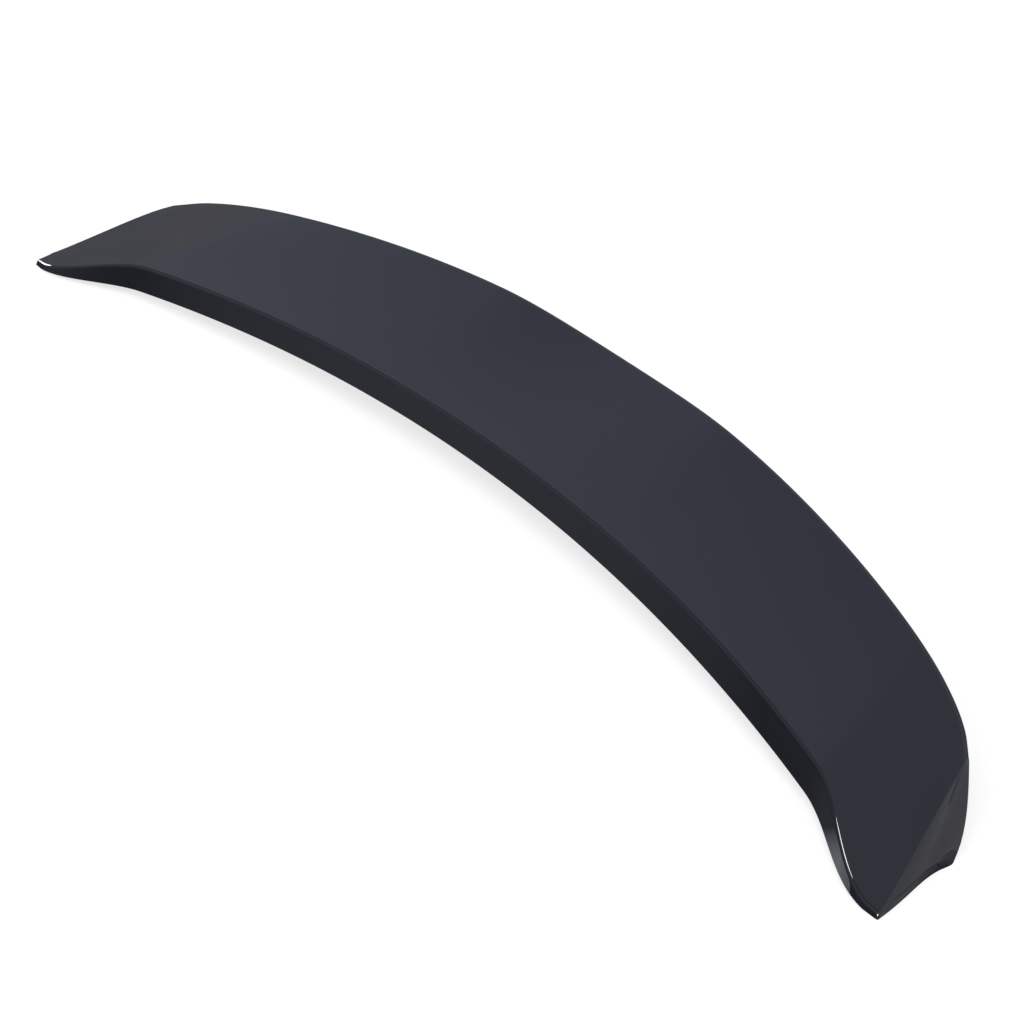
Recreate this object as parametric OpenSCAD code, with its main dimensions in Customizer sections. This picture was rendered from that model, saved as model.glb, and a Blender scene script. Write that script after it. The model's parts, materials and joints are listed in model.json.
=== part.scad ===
// Rear spoiler that stands on a boot lid: one moulded shell, open underneath, with threaded inserts.
// +X runs along the span to the right tip, +Y to the trailing lip and +Z up. The foot stands at Z = 0
// at the tips and along the rear, and follows the crown of the lid along the front.
// The front foot, front crease, lip and rear foot are curves along the span. A section joins them at
// each station, and its corners are rounded. Beyond the last station a facet closes each end.

/* [Plan] */
// Half of the span, from the middle to a tip
half_span = 592; // [577:1:607]
// How far the middle of the front foot lies behind the tips
front_setback = 108.5; // [101:0.5:116]
// Radius in plan of the front foot between its two ears
front_radius = 1800; // [1760:10:2000]
// Length along the span of each forward ear
ear_length = 124; // [110:1:136]
// Angle in plan by which the nose of an ear turns back at its tip
nose_angle = 12; // [6:1:16]
// How far the middle of the lip lies behind the tips
lip_reach = 267; // [260:1:274]
// How far an end of the lip lies behind the tips
lip_end_reach = 145; // [138:1:152]
// How far an end of the lip lies inside its tip
lip_end_inset = 52; // [46:1:58]
// How far the middle of the rear foot lies behind the tips
rear_foot_reach = 227.5; // [221:0.5:234]
// How far the rear foot's corner lies behind its tip
rear_corner_reach = 86; // [80:1:92]
// How far the rear foot's corner lies inside its tip
rear_corner_inset = 6.5; // [4:0.5:9]

/* [Heights] */
// Crown of the lid under the front foot
lid_crown = 22; // [16:1:26]
// Height of the lip at the middle
lip_height = 86; // [81:1:91]
// Height of the lip at its ends
lip_end_height = 46; // [42:1:50]
// How far the lip dips at the middle, over the lamp
lip_dip = 5; // [0:0.5:7]
// Height of the front wall at the middle
wall_height = 17.5; // [15:0.5:20]
// Extra height of the front wall towards the ears
wall_swell = 8.5; // [6:0.5:11]
// Height of a tip
tip_height = 4.5; // [3.5:0.5:6]
// How far the front wall leans back at the middle
wall_setback = 14; // [10:0.5:18]
// How far the front wall leans back at a tip
tip_setback = 1.5; // [1:0.5:4]
// Depth of the hollow across the top face
top_dish = 3; // [0:0.5:5]
// Height by which the top face swells along each end facet
end_crown = 1.8; // [0:0.2:4]

/* [Edges] */
// Radius of the front crease
crease_r = 5; // [4:0.5:7]
// Radius of the trailing lip
lip_r = 4; // [3.5:0.5:5]
// Radius of the trailing lip at its ends
lip_end_r = 2.5; // [2:0.5:4]
// Radius of the creases round each end facet
facet_r = 4; // [2:0.5:5]
// Radius of the upright edge at each tip
tip_r = 1.5; // [1:0.5:2.5]
// Radius in plan of the foot at each rear corner
corner_r = 6; // [4:0.5:8]
// How far the upright edge at a rear corner bulges out
corner_bulge = 2; // [0:0.5:4]
// Height of the base band at the tip
band_front = 7; // [5:0.5:8]
// Height of the base band at the rear corner
band_rear = 8.5; // [7:0.5:10]
// Half of the width of the groove above the base band
groove_half = 1.2; // [0.8:0.1:1.6]
// Depth of the groove above the base band
groove_depth = 1.4; // [0.8:0.1:1.8]
// How far the foot's side is drawn in between tip and rear corner
side_waist = 4.2; // [0:0.2:7]

/* [Wall and ribs] */
// Thickness of the moulded skin
skin = 3; // [2.5:0.1:3.4]
// Thickness of a rib
rib_wall = 2; // [1.6:0.1:2.6]
// Distance from the outermost cross rib to the tip
end_bay = 64; // [52:1:76]
// Gap between the ribs and the lid
rib_gap = 2; // [1:0.5:4]
// Place of the long rib between the front foot and the rear foot
spine_share = 0.45; // [0.4:0.01:0.5]

/* [Lid fixings] */
// Outer radius of an insert's boss
boss_r = 8; // [7:0.5:9]
// Outer radius of an insert
insert_r = 4.5; // [4:0.1:5]
// Length of an insert
insert_length = 10; // [8:1:12]
// Radius of an insert's tapped bore
insert_bore_r = 2.5; // [2:0.1:2.9]
// Clearance round an insert in its boss
insert_clearance = 0.05; // [0.02:0.01:0.1]
// Depth of the pocket behind an insert
insert_relief = 3; // [2:0.5:5]

/* [Lamp seat] */
// Length of the seat
seat_length = 262; // [250:1:270]
// Height of the seat along the rear face
seat_height = 52; // [46:1:54]
// Depth of the seat below the rear face
seat_depth = 12; // [10:0.5:13]
// Distance up the rear face from the foot to the seat's middle
seat_rise = 42; // [40:0.5:44]
// Corner radius of the seat
seat_corner_r = 8; // [5:0.5:12]
// Thickness of the seat's walls and floor
seat_wall = 2.5; // [2:0.1:3]
// Length of floor left between each end of the seat and its window
window_margin = 31; // [28:1:40]
// Height of the window in the seat's floor
window_height = 34; // [28:1:36]
// Depth of the room that the window gives behind the seat's floor
window_depth = 24; // [16:1:26]
// Distance from each end of the seat to a lamp screw
screw_margin = 14; // [12:0.5:18]
// Height of the lamp screws above the seat's middle
screw_rise = 14; // [8:0.5:16]
// Radius of a lamp screw's pilot hole
pilot_r = 1.4; // [1.2:0.1:1.6]
// Depth of a lamp screw's pilot hole
pilot_depth = 12; // [9:0.5:14]
// Outer radius of a lamp screw's boss
pilot_boss_r = 4.5; // [4:0.1:5]

/* [Hidden] */
$fn = 48;

// Shares of a squared term in the curves along the span, and the powers that bend their ends
lip_sweep = 0.83;
lip_sweep_power = 16;
lip_fall = 0.87;
lip_fall_power = 16;
foot_sweep = 0.6;
foot_end_power = 4;
setback_power = 4;
crown_end_power = 10;
crown_power = 3;
bulge_end_power = 20;
bulge_power = 1.5;

// Shares of the half span: how far the lip's dip reaches, and where the front wall starts to fall
lip_dip_share = 0.294;
wall_fall_start = 0.79;

// Faces along the section: front wall, crease, top, lip and rear wall
wall_n = 2;
crease_n = 3;
top_n = 5;
lip_n = 4;
rear_n = 5;
crease_j = wall_n + crease_n;
lip_j = crease_j + top_n;
rear_j = lip_j + lip_n;
last_j = rear_j + rear_n;

// Stations from the middle to the end of the top face, closer together in the ear
ear_start = 1 - ear_length / half_span;
last_step = 0.024;
span_n = 13;
ear_n = 10;
stations = concat(
    [for (i = [0 : span_n - 1]) ear_start * i / span_n],
    [for (i = [0 : ear_n]) ear_start + (1 - last_step - ear_start) * i / ear_n]
);

// Where each line of the section reaches the side's foot, from the tip to the rear corner
groove_end = 0.9;
side_landing = [[0, 0.1], [crease_j, 0.15], [lip_j, 0.62], [rear_j, 0.67], [last_j, groove_end]];
facet_n = 3;
facet_arc_n = 3;
groove_share = 0.75;
groove_fade = 0.06;
foot_spread = 0.8;

function at(p, q, share) = p + (q - p) * share;
function unit(v) = v / norm(v);
function blend(s, share, power) = share * s ^ 2 + (1 - share) * s ^ power;
function hermite(w, y0, m0, y1, m1) =
    (2 * w ^ 3 - 3 * w ^ 2 + 1) * y0 + (w ^ 3 - 2 * w ^ 2 + w) * m0
    + (3 * w ^ 2 - 2 * w ^ 3) * y1 + (w ^ 3 - w ^ 2) * m1;

// The front foot in plan: an arc, then an ear whose nose turns back at the tip
ear_x = half_span - ear_length;
function front_arc(x) = front_setback - front_radius + sqrt(front_radius ^ 2 - x ^ 2);
function front_foot_y(x) = x <= ear_x
    ? front_arc(x)
    : hermite((x - ear_x) / ear_length, front_arc(ear_x),
        -ear_x / sqrt(front_radius ^ 2 - ear_x ^ 2) * ear_length, 0, tan(nose_angle) * ear_length);
function front_foot(x) = [x, front_foot_y(x), lid_crown * (1 - (x / half_span) ^ 2)];

// The front crease stands above the foot and behind it
function wall_fall(s) = let (t = max(0, (s - wall_fall_start) / (1 - wall_fall_start))) t ^ 2 * (3 - 2 * t);
function wall_rise(s) =
    wall_height + wall_swell * s ^ 2 - (wall_height + wall_swell - tip_height) * wall_fall(s);
function crease(x) = let (s = x / half_span)
    front_foot(x) + [0, at(wall_setback, tip_setback, s ^ setback_power), wall_rise(s)];

// The trailing lip and the rear foot under it
lip_half = half_span - lip_end_inset;
function lip(x) = let (s = x / lip_half) [
    x,
    lip_reach - (lip_reach - lip_end_reach) * blend(s, lip_sweep, lip_sweep_power),
    lip_height - (lip_height - lip_end_height) * blend(s, lip_fall, lip_fall_power)
        - lip_dip * max(0, 1 - (s / lip_dip_share) ^ 2) ^ 2
];
rear_half = half_span - rear_corner_inset;
function rear_foot_y(x) = rear_foot_reach
    - (rear_foot_reach - rear_corner_reach) * blend(x / rear_half, foot_sweep, foot_end_power);
function rear_foot(x) = [x, rear_foot_y(x), 0];

// The end facet slopes, so an inner face below it starts further in than the skin is thick
facet_slope_share = 1.7;

// The section's four sharp corners at a share u of the span, an inset inside the outer face.
// drop carries both feet on past the lid, along the slope of their walls.
function inset_corner(p, a, b, inset) = let (d = unit(a - p), e = unit(b - p))
    p + (d + e) * inset / norm(cross(d, e));
function inset_foot(p, up, across, inset) = let (d = unit(up - p), e = unit(across - p))
    p + e * inset / norm(cross(d, e));
function corners(u, inset, drop) = let (
    a = front_foot(u * (half_span - inset)),
    b = crease(u * (half_span - facet_slope_share * inset)),
    c = lip(u * (lip_half - facet_slope_share * inset)),
    r = rear_foot(u * (rear_half - inset)),
    low_a = inset_foot(a, b, r, inset),
    high_b = inset_corner(b, a, c, inset),
    high_c = inset_corner(c, b, r, inset),
    low_r = inset_foot(r, c, a, inset)
) [
    low_a + unit(low_a - high_b) * drop,
    high_b,
    high_c,
    low_r + unit(low_r - high_c) * drop
];

// An arc of n faces that rounds corner p between a and b, kept inside the two sides
function round_corner(a, p, b, r, n) = let (
    d = unit(a - p),
    e = unit(b - p),
    half = acos(d * e) / 2,
    run = min(r / tan(half), 0.45 * norm(a - p), 0.45 * norm(b - p)),
    fit_r = run * tan(half),
    centre = p + unit(d + e) * fit_r / sin(half),
    from = p + d * run - centre,
    to = p + e * run - centre,
    turn = 180 - 2 * half
) [for (i = [0 : n]) centre + (sin(turn * (1 - i / n)) * from + sin(turn * i / n) * to) / sin(turn)];

// Rises from 0 to 1 and falls back to 0 as f goes from 0 to 1, with its top later for a higher power
function hump(f, power) = let (top = power / (power + 1))
    f ^ power * (1 - f) / (top ^ power * (1 - top));

function section(u, inset, drop) = let (
    k = corners(u, inset, drop),
    front = round_corner(k[0], k[1], k[2], crease_r - inset, crease_n),
    back = round_corner(k[1], k[2], k[3], max(at(lip_r, lip_end_r, u ^ 8) - inset, 0.8), lip_n),
    dish = top_dish * (1 - u ^ 4),
    crown = end_crown * u ^ crown_end_power,
    bulge = corner_bulge * u ^ bulge_end_power * [1, 1, 0]
) concat(
    [for (i = [0 : wall_n - 1]) at(k[0], front[0], i / wall_n)],
    front,
    [for (i = [1 : top_n - 1]) let (f = i / top_n)
        at(front[crease_n], back[0], f) + [0, 0, crown * hump(f, crown_power) - dish * hump(f, 1)]],
    back,
    [for (i = [1 : rear_n]) let (f = i / rear_n) at(back[lip_n], k[3], f) + bulge * hump(f, bulge_power)]
);

// One line down an end: round the crease, over the facet, through the groove and down the base band.
// At the foot's two corners the line has no height, and its points are spread along the foot.
function end_line(j, before, edge, inset) = let (
    share = lookup(j, side_landing),
    foot = at(edge[0], edge[last_j], share) - [side_waist * sin(180 * share ^ 2), 0, 0],
    corner = edge[j],
    room = max(corner[2] - foot[2], 0),
    band = min(band_front + (band_rear - band_front) * share, groove_share * room),
    full = min(1, band / band_front),
    along = unit(corner - foot) * foot_spread * (1 - full),
    cut = inset > 0 ? 0 : full * groove_depth * min(1, (groove_end - share) / groove_fade),
    top = foot + [0, 0, band] + 3 * along,
    turn_r = at(tip_r, facet_r, min(1, j / lip_j)) + (corner_r - facet_r) * max(0, j - rear_j) / rear_n,
    arc = round_corner(before[j], corner, top, max(turn_r - inset, tip_r / 2), facet_arc_n),
    upper = top + unit(corner - top) * groove_half * full
) concat(
    arc,
    [for (i = [1 : facet_n - 1]) at(arc[facet_arc_n], upper, i / facet_n)],
    [
        upper,
        foot + [-cut, 0, band] + 2 * along,
        foot + [0, 0, max(band - groove_half * full, 0)] + along,
        foot
    ]
);

// Half of the surface as rows of points, from the middle section to the foot of the side
function half_rows(inset, drop) = let (
    inner = [for (u = stations) section(u, inset, drop)],
    edge = section(1, inset, drop),
    lines = [for (j = [0 : last_j]) end_line(j, inner[len(inner) - 1], edge, inset)]
) concat(inner, [for (i = [0 : len(lines[0]) - 1]) [for (line = lines) line[i]]]);

function mirrored(row) = [for (p = row) [-p[0], p[1], p[2]]];
function all_rows(inset, drop) = let (half = half_rows(inset, drop), n = len(half))
    concat([for (i = [1 : n - 1]) mirrored(half[n - i])], half);
function flat(rows) = [for (row = rows, p = row) p];

// Two triangles on four corners
function two(a, b, c, d) = [[a, c, b], [a, d, c]];
function joined(lists) = [for (list = lists, item = list) item];
function flipped(faces) = [for (f = faces) [f[2], f[1], f[0]]];
columns = last_j + 1;
row_count = len(all_rows(0, 0));
skin_faces = joined([for (i = [0 : row_count - 2], j = [0 : last_j - 1]) let (a = i * columns + j)
    two(a, a + columns, a + columns + 1, a + 1)]);

// The surface's edge, once round the foot
foot_loop = let (last = (row_count - 1) * columns) concat(
    [for (i = [0 : row_count - 1]) i * columns],
    [for (j = [1 : last_j]) last + j],
    [for (i = [1 : row_count - 1]) last + last_j - i * columns],
    [for (j = [1 : last_j - 1]) last_j - j]
);

// Middle of the depth, so that the origin lies under the middle of the whole spoiler
depths = [for (p = flat(half_rows(0, 0))) p[1]];
middle_y = (min(depths) + max(depths)) / 2;

// Lid under the spoiler, between the front foot and the rear foot
function lid_share(x, y) = (y - front_foot_y(abs(x))) / (rear_foot_y(abs(x)) - front_foot_y(abs(x)));
function lid_z(x, y) = front_foot(abs(x))[2] * (1 - lid_share(x, y));
function spine_y(x) = front_foot_y(abs(x)) * (1 - spine_share) + rear_foot_y(abs(x)) * spine_share;

// Cross ribs stand in mirrored pairs, and two pairs of them carry the bosses
rib_count = 6;
rib_pitch = (half_span - end_bay) / (rib_count - 0.5);
rib_xs = [for (i = [0 : rib_count - 1], side = [-1, 1]) side * rib_pitch * (i + 0.5)];
boss_xs = [for (i = [2.5, rib_count - 0.5], side = [-1, 1]) side * rib_pitch * i];
function boss_foot_z(x) = lid_z(x, spine_y(x) - boss_r);

// The rear face leans back at this angle at the middle
rake = atan((lip_reach - rear_foot_reach) / (lip_height - lip_dip));
above_all = lip_height + 20;
well_out = 40;

// The moulded skin: an outer face and an inner face, joined round the foot
module skin_body() {
    outer = flat(all_rows(0, 0));
    n = len(outer);
    rim = joined([for (i = [0 : len(foot_loop) - 1])
        let (a = foot_loop[i], b = foot_loop[(i + 1) % len(foot_loop)]) two(b, a, a + n, b + n)]);
    polyhedron(
        points = concat(outer, flat(all_rows(skin, 0))),
        faces = concat(skin_faces, flipped([for (f = skin_faces) f + [n, n, n]]), rim)
    );
}

// A solid that ends halfway through the skin, and trims what stands inside the shell
module core_body() {
    last = (row_count - 1) * columns;
    under = joined([for (i = [0 : row_count - 2]) let (a = i * columns)
        two(a, a + last_j, a + columns + last_j, a + columns)]);
    folds = joined([for (j = [0 : (last_j - 3) / 2])
        concat(two(last + j, last + last_j - j, last + last_j - j - 1, last + j + 1),
            two(j, j + 1, last_j - j - 1, last_j - j))]);
    polyhedron(points = flat(all_rows(skin / 2, 10)), faces = concat(skin_faces, under, folds));
}

// A cross rib, whose lower edge keeps its gap above the lid
module cross_rib(x) {
    front = front_foot_y(abs(x)) - well_out;
    back = rear_foot_y(abs(x)) + well_out;
    translate([x - rib_wall / 2, 0, 0])
        rotate([90, 0, 90])
            linear_extrude(rib_wall)
                polygon([
                    [front, lid_z(x, front) + rib_gap],
                    [back, lid_z(x, back) + rib_gap],
                    [back, above_all],
                    [front, above_all]
                ]);
}

// The long rib, which follows the sweep of the spoiler from boss to boss
module spine() {
    reach = boss_xs[3];
    xs = [for (i = [-12 : 12]) reach * i / 12];
    translate([0, 0, lid_z(0, spine_y(0)) + rib_gap])
        linear_extrude(above_all)
            polygon(concat(
                [for (x = xs) [x, spine_y(x) - rib_wall / 2]],
                [for (i = [1 : len(xs)]) let (x = xs[len(xs) - i]) [x, spine_y(x) + rib_wall / 2]]
            ));
}

module boss(x) {
    translate([x, spine_y(x), boss_foot_z(x)])
        cylinder(h = above_all, r = boss_r);
}

// Places a child on the rear face: its X along the span, its Y up the face and its Z inwards
module on_rear_face() {
    translate([0, rear_foot_reach + seat_rise * sin(rake), seat_rise * cos(rake)])
        rotate([90 - rake, 0, 0])
            children();
}

// Sizes of the lamp seat that follow from its length
window_length = seat_length - 2 * window_margin;
screw_pitch = seat_length - 2 * screw_margin;

module rounded_plate(length, height, r, thickness) {
    steps = 5;
    linear_extrude(thickness)
        polygon([for (k = [0 : 3], i = [0 : steps]) let (a = 90 * (k + i / steps))
            [(k == 0 || k == 3 ? 1 : -1) * (length / 2 - r) + r * cos(a),
             (k < 2 ? 1 : -1) * (height / 2 - r) + r * sin(a)]]);
}

// The lamp screws run along Y, the way the seat is drawn from its mould
screw_z = (seat_rise + screw_rise) * cos(rake);
screw_floor_y = rear_foot_reach + screw_z * tan(rake) - seat_depth / cos(rake);

module lamp_screw_row(r, length, start) {
    for (side = [-1, 1])
        translate([side * screw_pitch / 2, screw_floor_y + start, screw_z])
            rotate([90, 0, 0])
                cylinder(h = length, r = r);
}

module lamp_tray() {
    on_rear_face()
        rounded_plate(seat_length + 2 * seat_wall, seat_height + 2 * seat_wall,
            seat_corner_r + seat_wall, seat_depth + seat_wall);
    lamp_screw_row(pilot_boss_r, pilot_depth + seat_wall, -seat_wall / 2);
}

module lamp_space() {
    on_rear_face()
        translate([0, 0, -well_out])
            rounded_plate(seat_length, seat_height, seat_corner_r, well_out + seat_depth);
    translate([0, rear_foot_reach + seat_rise * sin(rake), seat_rise * cos(rake)])
        rotate([90, 0, 0])
            rounded_plate(window_length, window_height, seat_corner_r / 2, seat_depth + window_depth);
    lamp_screw_row(pilot_r, pilot_depth + pilot_boss_r, pilot_boss_r);
}

module in_frame() {
    translate([0, -middle_y, 0])
        children();
}

module spoiler_shell() {
    color([0.1, 0.1, 0.12])
        in_frame()
            difference() {
                union() {
                    skin_body();
                    intersection() {
                        core_body();
                        union() {
                            for (x = rib_xs)
                                cross_rib(x);
                            spine();
                            for (x = boss_xs)
                                boss(x);
                            lamp_tray();
                        }
                    }
                }
                lamp_space();
                for (x = boss_xs)
                    translate([x, spine_y(x), boss_foot_z(x) - 1])
                        cylinder(h = insert_length + insert_relief + 1, r = insert_r + insert_clearance);
            }
}

// A press-in insert: two gripping bands with a waist between them, chamfered where it leads in
module insert(x) {
    waist_r = insert_r - 0.6;
    lead = 0.8;
    band = (insert_length - lead) * 0.36;
    translate([x, spine_y(x), boss_foot_z(x)])
        rotate_extrude()
            polygon([
                [insert_bore_r, 0],
                [insert_r, 0],
                [insert_r, band],
                [waist_r, band + 0.5],
                [waist_r, insert_length - lead - band - 0.5],
                [insert_r, insert_length - lead - band],
                [insert_r, insert_length - lead],
                [insert_r - lead, insert_length],
                [insert_bore_r, insert_length]
            ]);
}

module mount_inserts() {
    color([0.78, 0.62, 0.3])
        in_frame()
            for (x = boss_xs)
                insert(x);
}

spoiler_shell();
mount_inserts();
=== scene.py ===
"""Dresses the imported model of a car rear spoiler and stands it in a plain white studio.

The shell is drawn again at a finer step from the same curves as the solids, so that its gloss
paint reflects without facets. Its lengths are in millimetres until a mesh is finished, and the
studio's are in metres.
"""

import json
import logging
import math
from dataclasses import dataclass
from enum import Enum

import bmesh
import bpy
from mathutils import Matrix, Vector

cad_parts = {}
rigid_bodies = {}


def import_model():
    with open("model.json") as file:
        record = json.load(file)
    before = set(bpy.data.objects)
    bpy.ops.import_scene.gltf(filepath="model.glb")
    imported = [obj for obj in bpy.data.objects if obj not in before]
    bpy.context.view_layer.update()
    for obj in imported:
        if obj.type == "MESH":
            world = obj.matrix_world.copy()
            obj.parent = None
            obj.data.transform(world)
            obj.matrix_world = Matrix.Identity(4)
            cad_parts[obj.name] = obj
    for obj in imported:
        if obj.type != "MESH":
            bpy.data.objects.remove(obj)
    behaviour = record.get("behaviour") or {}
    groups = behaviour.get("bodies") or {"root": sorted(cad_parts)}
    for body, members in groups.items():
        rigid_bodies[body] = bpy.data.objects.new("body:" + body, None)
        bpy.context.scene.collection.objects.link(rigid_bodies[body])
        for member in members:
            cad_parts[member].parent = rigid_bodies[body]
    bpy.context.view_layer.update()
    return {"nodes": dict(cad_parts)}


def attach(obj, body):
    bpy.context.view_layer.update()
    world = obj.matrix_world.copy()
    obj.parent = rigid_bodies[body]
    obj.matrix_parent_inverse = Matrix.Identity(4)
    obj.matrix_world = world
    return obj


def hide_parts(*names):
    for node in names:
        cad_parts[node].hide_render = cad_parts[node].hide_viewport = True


log = logging.getLogger("spoiler")

MM = 0.001
BODY = "root"
# Edges that turn by more than this stay sharp in the shading
SHARP_ANGLE = math.radians(35)

Row = list[Vector]


class Side(Enum):
    """One end of the span."""

    LEFT = -1
    RIGHT = 1


class Skin(Enum):
    """Material slots of the shell: what is painted, and what is left as moulded."""

    PAINTED = 0
    MOULDED = 1


def linear(hex_colour: str) -> tuple[float, float, float, float]:
    """Turns an sRGB hex colour into a linear one.

    Args:
        hex_colour: Six hex digits with a leading #.

    Returns:
        Linear red, green and blue, with an alpha of 1.
    """
    parts = [int(hex_colour[i:i + 2], 16) / 255 for i in (1, 3, 5)]
    rgb = [p / 12.92 if p <= 0.04045 else ((p + 0.055) / 1.055) ** 2.4 for p in parts]
    return (rgb[0], rgb[1], rgb[2], 1.0)


def add_node(
    tree: bpy.types.NodeTree,
    kind: str,
    settings: dict[str, object] | None = None,
    links: dict[str, bpy.types.NodeSocket] | None = None,
) -> bpy.types.Node:
    """Adds a node, sets its values and joins its inputs.

    Args:
        tree: The tree that gets the node.
        kind: The node's type name.
        settings: Values by property name, or by input name for a socket.
        links: Output sockets by the name of the input that each one feeds.

    Returns:
        The new node.
    """
    node = tree.nodes.new(kind)
    for name, value in (settings or {}).items():
        if name in node.inputs:
            node.inputs[name].default_value = value
        else:
            setattr(node, name, value)
    for name, source in (links or {}).items():
        tree.links.new(source, node.inputs[name])
    return node


def new_material(name: str) -> tuple[bpy.types.Material, bpy.types.NodeTree]:
    """Makes an empty node material.

    Args:
        name: The material's name.

    Returns:
        The material and its cleared tree.
    """
    material = bpy.data.materials.new(name)
    material.use_nodes = True
    material.node_tree.nodes.clear()
    return material, material.node_tree


@dataclass(frozen=True)
class GlossBlackPaint:
    """Gloss black paint under clear lacquer on moulded ABS, sprayed and left unpolished.

    The eye sees almost no colour of its own, only the studio in the lacquer, with the faint
    ripple that sprayed lacquer keeps.
    """

    colour: str = "#0e1119"
    deep_colour: str = "#0b0d14"
    roughness: float = 0.5
    lacquer_roughness: float = 0.04
    ripple_mm: float = 3.0
    ripple_height: float = 0.012
    cloud_mm: float = 120.0

    def make(self) -> bpy.types.Material:
        """Builds the paint."""
        material, tree = new_material("gloss_black_paint_on_abs")
        place = add_node(tree, "ShaderNodeTexCoord").outputs["Object"]
        # The base coat lies a shade thicker here and there, over a hand's width
        cloud = add_node(
            tree, "ShaderNodeTexNoise",
            {"Scale": 1 / (self.cloud_mm * MM), "Detail": 2.0}, {"Vector": place},
        )
        tone = add_node(
            tree, "ShaderNodeMix",
            {"data_type": "RGBA"}, {"Factor": cloud.outputs["Fac"]},
        )
        for name, colour in ((6, self.deep_colour), (7, self.colour)):
            tone.inputs[name].default_value = linear(colour)
        # Orange peel, with its ripples about 3 mm apart
        peel = add_node(
            tree, "ShaderNodeTexNoise",
            {"Scale": 1 / (self.ripple_mm * MM), "Detail": 1.0, "Roughness": 0.4},
            {"Vector": place},
        )
        bump = add_node(
            tree, "ShaderNodeBump",
            {"Strength": self.ripple_height, "Distance": self.ripple_mm * MM},
            {"Height": peel.outputs["Fac"]},
        )
        shader = add_node(
            tree, "ShaderNodeBsdfPrincipled",
            {
                "Roughness": self.roughness, "Specular IOR Level": 0.0, "Coat Weight": 1.0,
                "Coat Roughness": self.lacquer_roughness, "Coat IOR": 1.5,
            },
            {"Base Color": tone.outputs[2], "Normal": bump.outputs["Normal"]},
        )
        add_node(tree, "ShaderNodeOutputMaterial", links={"Surface": shader.outputs["BSDF"]})
        return material


@dataclass(frozen=True)
class MouldedAbs:
    """Black ABS as it leaves a spark-eroded mould: a dull, fine, even grain."""

    colour: str = "#1d1d1f"
    worn_colour: str = "#262629"
    roughness: float = 0.55
    grain_mm: float = 0.8
    grain_depth_mm: float = 0.2
    flow_mm: float = 60.0

    def make(self) -> bpy.types.Material:
        """Builds the bare plastic."""
        material, tree = new_material("moulded_black_abs")
        place = add_node(tree, "ShaderNodeTexCoord").outputs["Object"]
        flow = add_node(
            tree, "ShaderNodeTexNoise",
            {"Scale": 1 / (self.flow_mm * MM), "Detail": 3.0, "Distortion": 0.6}, {"Vector": place},
        )
        tone = add_node(
            tree, "ShaderNodeMix",
            {"data_type": "RGBA"}, {"Factor": flow.outputs["Fac"]},
        )
        for name, colour in ((6, self.colour), (7, self.worn_colour)):
            tone.inputs[name].default_value = linear(colour)
        # The real grain is 0.1 mm, drawn at 0.8 mm so that it shows
        grain = add_node(
            tree, "ShaderNodeTexNoise",
            {"Scale": 1 / (self.grain_mm * MM), "Detail": 2.0}, {"Vector": place},
        )
        bump = add_node(
            tree, "ShaderNodeBump",
            {"Strength": 0.15, "Distance": self.grain_depth_mm * MM},
            {"Height": grain.outputs["Fac"]},
        )
        shader = add_node(
            tree, "ShaderNodeBsdfPrincipled",
            {"Roughness": self.roughness, "IOR": 1.53},
            {"Base Color": tone.outputs[2], "Normal": bump.outputs["Normal"]},
        )
        add_node(tree, "ShaderNodeOutputMaterial", links={"Surface": shader.outputs["BSDF"]})
        return material


@dataclass(frozen=True)
class TurnedBrass:
    """Free-cutting brass, turned and left bare: warm, with fine rings and a little tarnish."""

    colour: str = "#c9a45c"
    tarnish: str = "#8d6b35"
    roughness: float = 0.3
    stain_mm: float = 4.0
    ring_scale: float = 100.0
    ring_depth_mm: float = 0.05

    def make(self) -> bpy.types.Material:
        """Builds the brass."""
        material, tree = new_material("turned_brass")
        place = add_node(tree, "ShaderNodeTexCoord").outputs["Object"]
        stain = add_node(
            tree, "ShaderNodeTexNoise",
            {"Scale": 1 / (self.stain_mm * MM), "Detail": 4.0}, {"Vector": place},
        )
        tone = add_node(
            tree, "ShaderNodeMix",
            {"data_type": "RGBA"}, {"Factor": stain.outputs["Fac"]},
        )
        for name, colour in ((6, self.colour), (7, self.tarnish)):
            tone.inputs[name].default_value = linear(colour)
        # Tool marks of the lathe, as rings across the axis about 3 mm apart
        rings = add_node(
            tree, "ShaderNodeTexWave",
            {"bands_direction": "Z", "Scale": self.ring_scale}, {"Vector": place},
        )
        bump = add_node(
            tree, "ShaderNodeBump",
            {"Strength": 0.1, "Distance": self.ring_depth_mm * MM},
            {"Height": rings.outputs["Fac"]},
        )
        shader = add_node(
            tree, "ShaderNodeBsdfPrincipled",
            {"Roughness": self.roughness, "Metallic": 1.0},
            {"Base Color": tone.outputs[2], "Normal": bump.outputs["Normal"]},
        )
        add_node(tree, "ShaderNodeOutputMaterial", links={"Surface": shader.outputs["BSDF"]})
        return material


def towards(p: Vector, q: Vector, share: float) -> Vector:
    """Returns the point at that share of the way from p to q."""
    return p + (q - p) * share


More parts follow.
